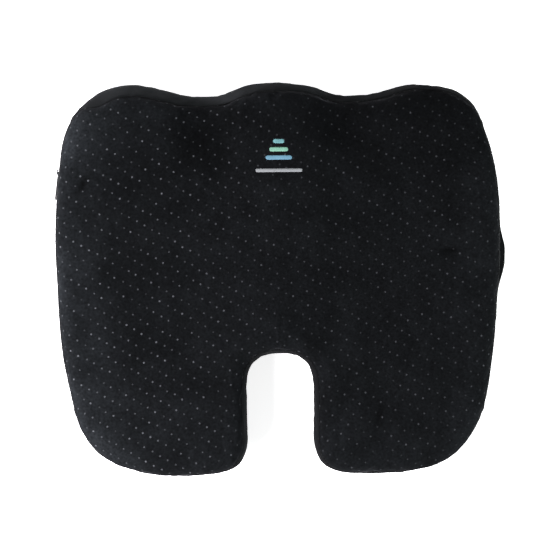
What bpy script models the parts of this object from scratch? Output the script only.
"""Coccyx seat cushion: a moulded foam core in a zipped fabric cover with a webbing carry handle.

Frame: metres, +Z up, origin on the flat underside at the middle of the body. +Y is the front
edge under the thighs, the coccyx cut-out opens towards -Y, the handle is on +X and the zip on -X.
"""

import math

import bmesh
import bpy
from mathutils import Vector
from mathutils.geometry import interpolate_bezier

# Plan outline. Each side is an arc about a point past the middle, and the rest are Bezier runs.
SIDE_RADIUS = 0.680
SIDE_REACH = 0.2217
SIDE_CENTRE = Vector((SIDE_RADIUS - SIDE_REACH, 0.027))
SIDE_FRONT = math.radians(8.2)
SIDE_REAR = math.radians(-12.6)
SIDE_STEPS = 12

# Knots of half the outline: x, y, heading in degrees from +X, reach in, reach out, steps after it.
FRONT_KNOTS = (
    (0.000, 0.196, 0, 0.000, 0.043, 5),
    (0.0715, 0.183, 0, 0.028, 0.039, 5),
    (0.143, 0.194, 0, 0.0225, 0.0285, 6),
    (0.1975, 0.1695, -55, 0.0145, 0.018, 4),
)
REAR_KNOTS = (
    (0.1805, -0.1705, -133, 0.020, 0.018, 6),
    (0.100, -0.1950, 180, 0.042, 0.030, 6),
    (0.0405, -0.1820, 124, 0.013, 0.007, 3),
)
CUTOUT_KNOTS = (
    (0.0405, -0.1820, 124, 0.013, 0.007, 3),
    (0.0338, -0.158, 92, 0.010, 0.020, 3),
    (0.0325, -0.100, 94, 0.018, 0.014, 5),
    (0.000, -0.0740, 180, 0.024, 0.000, 0),
)
SIDE_HANDLE = 0.016
CUTOUT_SHIFT = 0.0015

# Where the cut-out's shift fades out, measured from the middle line and from the front.
SHIFT_FADE_X = (0.045, 0.095)
SHIFT_FADE_Y = (-0.060, 0.000)

# Height of the sitting surface: two bowls, two thigh channels with a pommel between them at the
# front, raised sides and a front edge that falls away.
BASE_HEIGHT = 0.069
BOWL_X, BOWL_Y = 0.095, -0.015
BOWL_WIDE, BOWL_LONG = 0.075, 0.085
BOWL_DEEP = 0.010
CHANNEL_X = 0.0715
CHANNEL_WIDE = 0.032
CHANNEL_DEEP = 0.012
CHANNEL_FROM, CHANNEL_FULL = 0.050, 0.185
POMMEL_WIDE = 0.040
POMMEL_HIGH = 0.002
POMMEL_FROM, POMMEL_FULL = 0.060, 0.170
SIDE_RISE = 0.004
SIDE_RISE_FROM, SIDE_RISE_FULL = 0.140, 0.215
FRONT_FALL = 0.009
FRONT_FALL_FROM, FRONT_FALL_FULL = 0.110, 0.200

# The rounded edge of the sitting surface, and the spacing of the faces that follow it.
EDGE_DROP = 0.012
EDGE_WIDTH = 0.014
EDGE_RINGS = (0.0, 0.0008, 0.0026, 0.0070)
GRID = 0.030
GRID_REACH = (0.22, 0.20)

# Cover.
CLOTH = 0.0014
BASE_THICK = 0.0018
GAP = 0.0003
BAND_FOOT = BASE_THICK + GAP
SEAM_INSET = 0.0024
FRONT_INSET = 0.0038
FRONT_INSET_FROM, FRONT_INSET_FULL = 0.145, 0.180
PANEL_LIFT = 0.0004
BASE_INSET = 0.0040

# Side band section: its foot curves in, its middle stands upright, and its top leans in.
FOOT_IN = 0.0034
FOOT_CURVE = (0.0012, 0.0065)
UPRIGHT_FROM = 0.014
UPRIGHT_SHARE = 0.70
LEAN_SHARE, LEAN_IN = 0.89, 0.4

# Foam core, set in from the outside of the cover.
FOAM_INSET = 0.0028
FOAM_SINK = 0.0022

# Zip along the left side. Its places along the side arc are lengths from the arc's widest point.
ZIP_Z = 0.030
ZIP_STEP = 0.020
SLOT_HALF = 0.005
TAPE_HALF = 0.014
TAPE_SPAN = (-0.1492, 0.0971)
TAPE_NEAR, TAPE_FAR = -0.0023, -0.0017
COIL_SPAN = (-0.140, 0.088)
COIL_NEAR, COIL_FAR = -0.0014, 0.0004
COIL_CLEAR = 0.0006
COIL_WIDE = 0.0027
STOP_LONG = 0.003
STOP_FAR = 0.0006
STOP_WIDER = 0.0003
BOTTOM_STOP_LONG = 0.005
BOTTOM_STOP_FAR = 0.0008
GROOVE_SPAN = (-0.142, 0.091)
GROOVE_HALF = 0.006
GROOVE_NEAR, GROOVE_FAR = -0.0046, 0.0020

# Zip slider, at the closed front end. Depths are outward from the band's face.
SLIDER_AT = 0.082
SLIDER_HALF = 0.0052
SLIDER_SHOULDER = 0.0034
OUTER_PLATE = (0.0007, 0.0017)
OUTER_PLATE_HALF = 0.0044
INNER_PLATE = (-0.0039, -0.0028)
INNER_PLATE_HALF = 0.0040
FLANGE_DEPTH = (-0.0013, 0.0012)
FLANGE_LONG = (-0.0036, 0.0032)
FLANGE_HEIGHT = (0.0036, 0.0043)
NECK_LONG = (0.0014, 0.0036)
NECK_HALF = 0.0003
CROWN_HALF_WIDE = 0.0009
CROWN_LEG = (0.0016, 0.0026)
CROWN_TOP = (0.0035, 0.0045)
SINK_IN = 0.0002

# Zip pull, on a round bar through the slider's crown.
PULL_DEPTH = 0.0026
PULL_HALF_THICK = 0.0006
PULL_OUTLINE = ((0.0, 0.0023), (-0.006, 0.0023), (-0.009, 0.0033), (-0.0265, 0.0033), (-0.0282, 0.0018))
WINDOW_LONG = (-0.0042, 0.0010)
WINDOW_HALF = 0.0013
HOLE_AT = -0.0225
HOLE_LONG, HOLE_HIGH = 0.0026, 0.0017

# Handle on the right side. Its places are lengths along the side arc from its middle.
HANDLE_AT = -0.0075
HANDLE_Z = 0.026
WEBBING_WIDE = 0.025
WEBBING_THICK = 0.0015
HANDLE_BOW = 0.0059
HANDLE_HALF = 0.040
HANDLE_END = 0.062
HANDLE_SPLIT = 0.014
WEBBING_STEP = 0.004


# ---------------------------------------------------------------- plan outline


def rise(value, start, end):
    """0 up to start and 1 from end on, with a smooth step between."""
    t = min(max((value - start) / (end - start), 0.0), 1.0)
    return t * t * (3 - 2 * t)


def side_point(along, outward=0.0, side=1):
    """A point of a side arc, a length along it from its widest point and a distance out from it."""
    angle = along / SIDE_RADIUS
    reach = SIDE_RADIUS + outward
    x = reach * math.cos(angle) - SIDE_CENTRE.x
    return Vector((side * x, SIDE_CENTRE.y + reach * math.sin(angle)))


def side_knot(angle):
    """A knot where the right-hand arc meets the next run."""
    point = side_point(angle * SIDE_RADIUS)
    return (point.x, point.y, math.degrees(angle) - 90, SIDE_HANDLE, SIDE_HANDLE, 4)


def bezier_run(knots):
    """Points through the knots, first and last included."""
    points = []
    for start, end in zip(knots, knots[1:]):
        head_start, head_end = math.radians(start[2]), math.radians(end[2])
        first, last = Vector(start[:2]), Vector(end[:2])
        leave = first + start[4] * Vector((math.cos(head_start), math.sin(head_start)))
        arrive = last - end[3] * Vector((math.cos(head_end), math.sin(head_end)))
        points += interpolate_bezier(first, leave, arrive, last, start[5] + 1)[:-1]
    return points + [Vector(knots[-1][:2])]


def mirrored(points):
    return [Vector((-p.x, p.y)) for p in reversed(points)]


def outline_runs():
    """The outline clockwise from above, as named runs that share their end points."""
    front = bezier_run(FRONT_KNOTS + (side_knot(SIDE_FRONT),))
    rear = bezier_run((side_knot(SIDE_REAR),) + REAR_KNOTS)
    cutout = bezier_run(CUTOUT_KNOTS)
    arc = [SIDE_FRONT + (SIDE_REAR - SIDE_FRONT) * i / SIDE_STEPS for i in range(SIDE_STEPS + 1)]
    side = [side_point(angle * SIDE_RADIUS) for angle in arc]
    runs = {
        "front": mirrored(front)[:-1] + front,
        "right": side,
        "rear_right": rear,
        "cutout": cutout[:-1] + mirrored(cutout),
        "rear_left": mirrored(rear),
        "left": mirrored(side),
    }
    return {name: [shifted(p) for p in points] for name, points in runs.items()}


def shifted(point):
    """The cut-out sits a little to the right of the middle."""
    near = (1 - rise(abs(point.x), *SHIFT_FADE_X)) * (1 - rise(point.y, *SHIFT_FADE_Y))
    return Vector((point.x + CUTOUT_SHIFT * near, point.y))


RUNS = outline_runs()
OUTLINE = [point for run in RUNS.values() for point in run[:-1]]


def outward_normals():
    """The outward direction at each outline point, keyed by the point."""
    normals = {}
    for i, point in enumerate(OUTLINE):
        before = (point - OUTLINE[i - 1]).normalized()
        after = (OUTLINE[(i + 1) % len(OUTLINE)] - point).normalized()
        along = (before + after).normalized()
        normals[key(point)] = Vector((-along.y, along.x))
    return normals


def key(point):
    return round(point.x, 6), round(point.y, 6)


NORMALS = outward_normals()


def offset(point, distance):
    return point + distance * NORMALS[key(point)]


# ---------------------------------------------------------------- heights and sections


def bump(across, along=0.0):
    return math.exp(-across * across - along * along)


def crown(x, y):
    """Height of the sitting surface, before its edge is rounded."""
    side = abs(x)
    bowl = BOWL_DEEP * bump((side - BOWL_X) / BOWL_WIDE, (y - BOWL_Y) / BOWL_LONG)
    channel = CHANNEL_DEEP * bump((side - CHANNEL_X) / CHANNEL_WIDE)
    channel *= rise(y, CHANNEL_FROM, CHANNEL_FULL)
    pommel = POMMEL_HIGH * bump(x / POMMEL_WIDE) * rise(y, POMMEL_FROM, POMMEL_FULL)
    sides = SIDE_RISE * rise(side, SIDE_RISE_FROM, SIDE_RISE_FULL)
    fall = FRONT_FALL * rise(y, FRONT_FALL_FROM, FRONT_FALL_FULL)
    return BASE_HEIGHT + sides + pommel - bowl - channel - fall


def edge_drop(inside):
    """How far the rounded edge falls, at a distance inside the top seam."""
    part = 1 - min(inside / EDGE_WIDTH, 1.0)
    return EDGE_DROP * (1 - math.sqrt(1 - part * part))


def seam_inset(point):
    """The top seam lies inside the outline, and further in along the front edge."""
    return SEAM_INSET + FRONT_INSET * rise(point.y, FRONT_INSET_FROM, FRONT_INSET_FULL)


def seam_point(point, further=0.0):
    return offset(point, -seam_inset(point) - further)


def seam_height(point):
    seam = seam_point(point)
    return crown(seam.x, seam.y) - EDGE_DROP


def band_profile(point):
    """The band's outer face from foot to seam, as (distance out from the outline, height)."""
    inset = seam_inset(point)
    top = seam_height(point)
    upright = top - UPRIGHT_FROM
    return [
        (-FOOT_IN, BAND_FOOT),
        (-FOOT_CURVE[0], FOOT_CURVE[1]),
        (0.0, UPRIGHT_FROM),
        (0.0, UPRIGHT_FROM + UPRIGHT_SHARE * upright),
        (-LEAN_IN * inset, UPRIGHT_FROM + LEAN_SHARE * upright),
        (-inset, top),
    ]


# ---------------------------------------------------------------- mesh helpers


def clear_scene():
    for obj in list(bpy.data.objects):
        bpy.data.objects.remove(obj, do_unlink=True)


def material(name, colour, roughness, metallic=0.0):
    mat = bpy.data.materials.get(name) or bpy.data.materials.new(name)
    mat.use_nodes = True
    shader = mat.node_tree.nodes["Principled BSDF"]
    shader.inputs["Base Color"].default_value = (*colour, 1.0)
    shader.inputs["Roughness"].default_value = roughness
    shader.inputs["Metallic"].default_value = metallic
    return mat


def new_object(name, bm, mat, parent=None, smooth=True):
    bmesh.ops.recalc_face_normals(bm, faces=bm.faces)
    mesh = bpy.data.meshes.new(name)
    bm.to_mesh(mesh)
    bm.free()
    if smooth:
        mesh.shade_smooth()
        mesh.set_sharp_from_angle(angle=math.radians(40))
    obj = bpy.data.objects.new(name, mesh)
    bpy.context.scene.collection.objects.link(obj)
    if mat:
        mesh.materials.append(mat)
    obj.parent = parent
    return obj


def join_loops(bm, loop, other):
    """Faces between two closed loops with the same number of points."""
    for i in range(len(loop)):
        j = (i + 1) % len(loop)
        bm.faces.new((loop[i], loop[j], other[j], other[i]))


def loft(bm, sections):
    """A closed body through a row of sections, each a closed loop of points."""
    loops = [[bm.verts.new(p) for p in section] for section in sections]
    for loop, other in zip(loops, loops[1:]):
        join_loops(bm, loop, other)
    bm.faces.new(loops[0])
    bm.faces.new(loops[-1])


def cutter(name, bm):
    obj = new_object(name, bm, None, smooth=False)
    obj.hide_render = True
    obj.display_type = "WIRE"
    return obj


def combine(obj, other, operation):
    """A Boolean on obj with a helper object."""
    modifier = obj.modifiers.new(other.name, "BOOLEAN")
    modifier.operation = operation
    modifier.solver = "EXACT"
    modifier.object = other


def box_mesh(low, high):
    bm = bmesh.new()
    bmesh.ops.create_cube(bm, size=1.0)
    for vert in bm.verts:
        for axis in range(3):
            vert.co[axis] = high[axis] if vert.co[axis] > 0 else low[axis]
    return bm


def plate_mesh(outline, near, far):
    """An outline in Y and Z made into a plate between two X places."""
    bm = bmesh.new()
    loft(bm, [[Vector((x, y, z)) for y, z in outline] for x in (near, far)])
    return bm


# ---------------------------------------------------------------- foam and panels


def sitting_surface(bm, further, sink):
    """The sitting surface inside the top seam, moved in and down. Returns its rim, in order."""
    rings = []
    for inset in EDGE_RINGS:
        plan = [seam_point(p, further + inset) for p in OUTLINE]
        rings.append([bm.verts.new((p.x, p.y, edge_drop(inset))) for p in plan])
    for ring, inner in zip(rings, rings[1:]):
        join_loops(bm, ring, inner)
    split_by_grid(bm, [bm.faces.new(rings[-1])])
    rim = [Vector((v.co.x, v.co.y)) for v in rings[0]]
    known = {v for ring in rings for v in ring}
    for vert in bm.verts:
        drop = vert.co.z if vert in known else edge_drop(distance_to(rim, vert.co))
        vert.co.z = crown(vert.co.x, vert.co.y) - drop - sink
    return rings[0]


def split_by_grid(bm, faces):
    """Cuts a flat face along evenly spaced lines, so that it can follow the crown."""
    for axis, reach in zip((Vector((1, 0, 0)), Vector((0, 1, 0))), GRID_REACH):
        count = round(reach / GRID)
        for step in range(-count, count + 1):
            geometry = faces + list({e for f in faces for e in f.edges})
            geometry += list({v for f in faces for v in f.verts})
            place = axis * step * GRID
            cut = bmesh.ops.bisect_plane(bm, geom=geometry, plane_co=place, plane_no=axis)
            faces = [g for g in cut["geom"] if isinstance(g, bmesh.types.BMFace)]


def distance_to(loop, point):
    """The distance in plan from a point to a closed loop of points."""
    spot = Vector((point.x, point.y))
    nearest = math.inf
    for i, start in enumerate(loop):
        span = loop[(i + 1) % len(loop)] - start
        part = min(max((spot - start).dot(span) / span.length_squared, 0.0), 1.0)
        nearest = min(nearest, (start + part * span - spot).length)
    return nearest


def foam_side(bm, above):
    """The foam's side, from its top edge down behind the band to its flat base."""
    profiles = [band_profile(p) for p in OUTLINE]
    for level in reversed(range(len(profiles[0]) - 1)):
        sink = FOAM_SINK if level >= len(profiles[0]) / 2 else 0.0
        ring = []
        for point, profile in zip(OUTLINE, profiles):
            out, height = profile[level]
            place = offset(point, out - FOAM_INSET)
            ring.append(bm.verts.new((place.x, place.y, height - sink)))
        join_loops(bm, above, ring)
        above = ring
    bm.faces.new(above)


def foam_core():
    bm = bmesh.new()
    foam_side(bm, sitting_surface(bm, FOAM_INSET, FOAM_SINK))
    foam = new_object("foam_core", bm, material("memory_foam", (0.75, 0.70, 0.55), 0.9))
    groove = bmesh.new()
    heights = (ZIP_Z - GROOVE_HALF, ZIP_Z + GROOVE_HALF)
    loft(groove, zip_rows(GROOVE_SPAN, GROOVE_NEAR, GROOVE_FAR, *heights))
    combine(foam, cutter("foam_groove", groove), "DIFFERENCE")


def cover_top_panel():
    bm = bmesh.new()
    sitting_surface(bm, 0.0, -PANEL_LIFT)
    velour = material("dotted_velour", (0.012, 0.013, 0.015), 0.95)
    panel = new_object("cover_top_panel", bm, velour)
    shell = panel.modifiers.new("cloth", "SOLIDIFY")
    shell.thickness = CLOTH
    shell.offset = -1.0
    shell.use_even_offset = False


def cover_bottom_panel():
    bm = bmesh.new()
    plan = [offset(p, -BASE_INSET) for p in OUTLINE]
    loft(bm, [[Vector((p.x, p.y, z)) for p in plan] for z in (0.0, BASE_THICK)])
    new_object("cover_bottom_panel", bm, material("anti_slip_fabric", (0.010, 0.010, 0.011), 0.8))


# ---------------------------------------------------------------- side band


def trimmed(points):
    """The run's points, with each end drawn back by half the gap between two band lengths."""
    first = points[0] + (points[1] - points[0]).normalized() * GAP / 2
    last = points[-1] + (points[-2] - points[-1]).normalized() * GAP / 2
    return [first] + points[1:-1] + [last]


def band(name, run, profile_of=band_profile):
    """One sewn length of the side band: the profile swept along a run of the outline."""
    sections = []
    for point, place in zip(RUNS[run], trimmed(RUNS[run])):
        normal = NORMALS[key(point)]
        profile = profile_of(point)
        outer = [(place + out * normal, z) for out, z in profile]
        inner = [(place + (out - CLOTH) * normal, z) for out, z in reversed(profile)]
        sections.append([Vector((p.x, p.y, z)) for p, z in outer + inner])
    bm = bmesh.new()
    loft(bm, sections)
    new_object(name, bm, material("band_jersey", (0.016, 0.017, 0.019), 0.9))


def above_zip(point):
    return [(0.0, ZIP_Z + SLOT_HALF)] + band_profile(point)[3:]


def below_zip(point):
    return band_profile(point)[:3] + [(0.0, ZIP_Z - SLOT_HALF)]


def side_bands():
    band("band_front", "front")
    band("band_right", "right")
    band("band_rear_right", "rear_right")
    band("band_cutout", "cutout")
    band("band_rear_left", "rear_left")
    band("zip_strip_upper", "left", above_zip)
    band("zip_strip_lower", "left", below_zip)


# ---------------------------------------------------------------- zip


def zip_rows(span, near, far, low, high):
    """A rectangular section swept along the left side arc, as rows of corner points."""
    count = max(1, round((span[1] - span[0]) / ZIP_STEP))
    rows = []
    for i in range(count + 1):
        along = span[0] + (span[1] - span[0]) * i / count
        inner, outer = side_point(along, near, -1), side_point(along, far, -1)
        corners = ((inner, low), (outer, low), (outer, high), (inner, high))
        rows.append([Vector((p.x, p.y, z)) for p, z in corners])
    return rows


def zip_bar(name, span, near, far, heights, mat):
    bm = bmesh.new()
    loft(bm, zip_rows(span, near, far, *heights))
    new_object(name, bm, mat)


def zip_metal():
    return material("zip_metal", (0.045, 0.045, 0.048), 0.35, 1.0)


def zip_side(sign, reach):
    """The lowest and highest place of a bar above (+1) or below (-1) the middle of the zip."""
    return sorted((ZIP_Z + sign * COIL_CLEAR, ZIP_Z + sign * reach))


def zip_fixed_parts():
    tape = material("zip_tape", (0.014, 0.014, 0.015), 0.9)
    coil = material("zip_coil", (0.020, 0.020, 0.022), 0.45)
    coil_reach = COIL_CLEAR + COIL_WIDE
    stop_reach = coil_reach + STOP_WIDER
    top_stop = (COIL_SPAN[1] + GAP, COIL_SPAN[1] + GAP + STOP_LONG)
    for name, sign in (("upper", 1), ("lower", -1)):
        zip_bar(f"zip_tape_{name}", TAPE_SPAN, TAPE_NEAR, TAPE_FAR, zip_side(sign, TAPE_HALF), tape)
        zip_bar(f"zip_coil_{name}", COIL_SPAN, COIL_NEAR, COIL_FAR, zip_side(sign, coil_reach), coil)
        heights = zip_side(sign, stop_reach)
        zip_bar(f"zip_top_stop_{name}", top_stop, COIL_NEAR, STOP_FAR, heights, zip_metal())
    bottom_stop = (COIL_SPAN[0] - GAP - BOTTOM_STOP_LONG, COIL_SPAN[0] - GAP)
    heights = (ZIP_Z - stop_reach, ZIP_Z + stop_reach)
    zip_bar("zip_bottom_stop", bottom_stop, COIL_NEAR, BOTTOM_STOP_FAR, heights, zip_metal())


def zip_axis():
    """An empty on the zip's travel axis, turned so that its -X points at the closed slider."""
    axis = bpy.data.objects.new("zip_axis", None)
    axis.location = (SIDE_CENTRE.x, SIDE_CENTRE.y, ZIP_Z)
    axis.rotation_euler.z = -SLIDER_AT / SIDE_RADIUS
    bpy.context.scene.collection.objects.link(axis)
    return axis


def slider_piece(name, bm, axis, mat=None):
    """A slider shape, drawn with X outward from the zip line, placed on the travel axis."""
    for vert in bm.verts:
        vert.co.x = -SIDE_RADIUS - vert.co.x
    obj = new_object(name, bm, mat, axis)
    if mat is None:
        obj.hide_render = True
        obj.display_type = "WIRE"
    return obj


def shield(half):
    """The slider plate's outline in Y and Z: wide at the front, tapered to the tail."""
    upper = (
        (SLIDER_HALF, half * 0.55),
        (SLIDER_SHOULDER, half),
        (-SLIDER_HALF * 0.2, half),
        (-SLIDER_HALF, half * 0.72),
    )
    return both_sides(upper)


def both_sides(upper):
    """A closed outline from its upper half, mirrored in Z."""
    return list(upper) + [(y, -z) for y, z in reversed(upper)]


def slider_boxes():
    """The neck, the flanges and the crown's two legs and bridge, as (low, high) corners."""
    flange = (FLANGE_DEPTH, FLANGE_LONG, FLANGE_HEIGHT)
    leg_depth = (OUTER_PLATE[1] - SINK_IN, CROWN_TOP[0] + SINK_IN)
    wide = (-CROWN_HALF_WIDE, CROWN_HALF_WIDE)
    neck_depth = (INNER_PLATE[1] - SINK_IN, OUTER_PLATE[0] + SINK_IN)
    spans = {
        "slider_neck": (neck_depth, NECK_LONG, (-NECK_HALF, NECK_HALF)),
        "slider_flange_up": flange,
        "slider_flange_down": (*flange[:2], (-FLANGE_HEIGHT[1], -FLANGE_HEIGHT[0])),
        "crown_front": (leg_depth, CROWN_LEG, wide),
        "crown_rear": (leg_depth, (-CROWN_LEG[1], -CROWN_LEG[0]), wide),
        "crown_bridge": (CROWN_TOP, (-CROWN_LEG[1], CROWN_LEG[1]), wide),
    }
    return {name: tuple(zip(*span)) for name, span in spans.items()}


def zip_slider(axis):
    outer = plate_mesh(shield(OUTER_PLATE_HALF), *OUTER_PLATE)
    slider = slider_piece("zip_slider", outer, axis, zip_metal())
    inner = plate_mesh(shield(INNER_PLATE_HALF), *INNER_PLATE)
    combine(slider, slider_piece("slider_inner_plate", inner, axis), "UNION")
    for name, (low, high) in slider_boxes().items():
        combine(slider, slider_piece(name, box_mesh(low, high), axis), "UNION")


def ellipse(centre, half_long, half_high, steps=12):
    turns = (2 * math.pi * i / steps for i in range(steps))
    return [(centre + half_long * math.cos(a), half_high * math.sin(a)) for a in turns]


def zip_pull(axis):
    """The pull tab. Its origin is on its own axis, which runs through the slider's crown."""
    tab = plate_mesh(both_sides(PULL_OUTLINE), -PULL_HALF_THICK, PULL_HALF_THICK)
    pull = new_object("zip_pull", tab, zip_metal(), axis)
    pull.location = (-SIDE_RADIUS - PULL_DEPTH, 0.0, 0.0)
    through = 2 * PULL_HALF_THICK
    low = (-through, WINDOW_LONG[0], -WINDOW_HALF)
    high = (through, WINDOW_LONG[1], WINDOW_HALF)
    bar = bmesh.new()
    bar_long = 2 * PULL_OUTLINE[0][1]
    bmesh.ops.create_cone(
        bar,
        cap_ends=True,
        segments=12,
        radius1=PULL_HALF_THICK,
        radius2=PULL_HALF_THICK,
        depth=bar_long,
    )
    hole = plate_mesh(ellipse(HOLE_AT, HOLE_LONG, HOLE_HIGH), -through, through)
    helpers = (
        (cutter("pull_window", box_mesh(low, high)), "DIFFERENCE"),
        (cutter("pull_hole", hole), "DIFFERENCE"),
        (cutter("pull_crossbar", bar), "UNION"),
    )
    for helper, operation in helpers:
        helper.parent = pull
        combine(pull, helper, operation)


# ---------------------------------------------------------------- carry handle


def webbing_rows(start, end):
    """The webbing between two places along the right side, bowed out between its sewn ends."""
    rows = []
    steps = round(abs(end - start) / WEBBING_STEP)
    for i in range(steps + 1):
        along = start + (end - start) * i / steps
        part = min(abs(along) / HANDLE_HALF, 1.0)
        near = GAP + HANDLE_BOW * (1 + math.cos(math.pi * part)) / 2
        inner = side_point(HANDLE_AT + along, near)
        outer = side_point(HANDLE_AT + along, near + WEBBING_THICK)
        low, high = HANDLE_Z - WEBBING_WIDE / 2, HANDLE_Z + WEBBING_WIDE / 2
        corners = ((inner, low), (outer, low), (outer, high), (inner, high))
        rows.append([Vector((p.x, p.y, z)) for p, z in corners])
    return rows


def handle():
    webbing = material("webbing", (0.007, 0.007, 0.008), 0.75)
    split = HANDLE_SPLIT + GAP / 2
    for name, sign in (("handle_end_front", 1), ("handle_end_rear", -1)):
        bm = bmesh.new()
        loft(bm, webbing_rows(sign * split, sign * HANDLE_END))
        new_object(name, bm, webbing)
    pivot = bpy.data.objects.new("handle_axis", None)
    middle = side_point(HANDLE_AT)
    pivot.location = (middle.x, middle.y, HANDLE_Z)
    bpy.context.scene.collection.objects.link(pivot)
    bm = bmesh.new()
    rows = webbing_rows(-HANDLE_SPLIT + GAP / 2, HANDLE_SPLIT - GAP / 2)
    loft(bm, [[corner - pivot.location for corner in row] for row in rows])
    new_object("handle_strap", bm, webbing, pivot)


def build():
    clear_scene()
    foam_core()
    cover_top_panel()
    cover_bottom_panel()
    side_bands()
    zip_fixed_parts()
    axis = zip_axis()
    zip_slider(axis)
    zip_pull(axis)
    handle()


build()
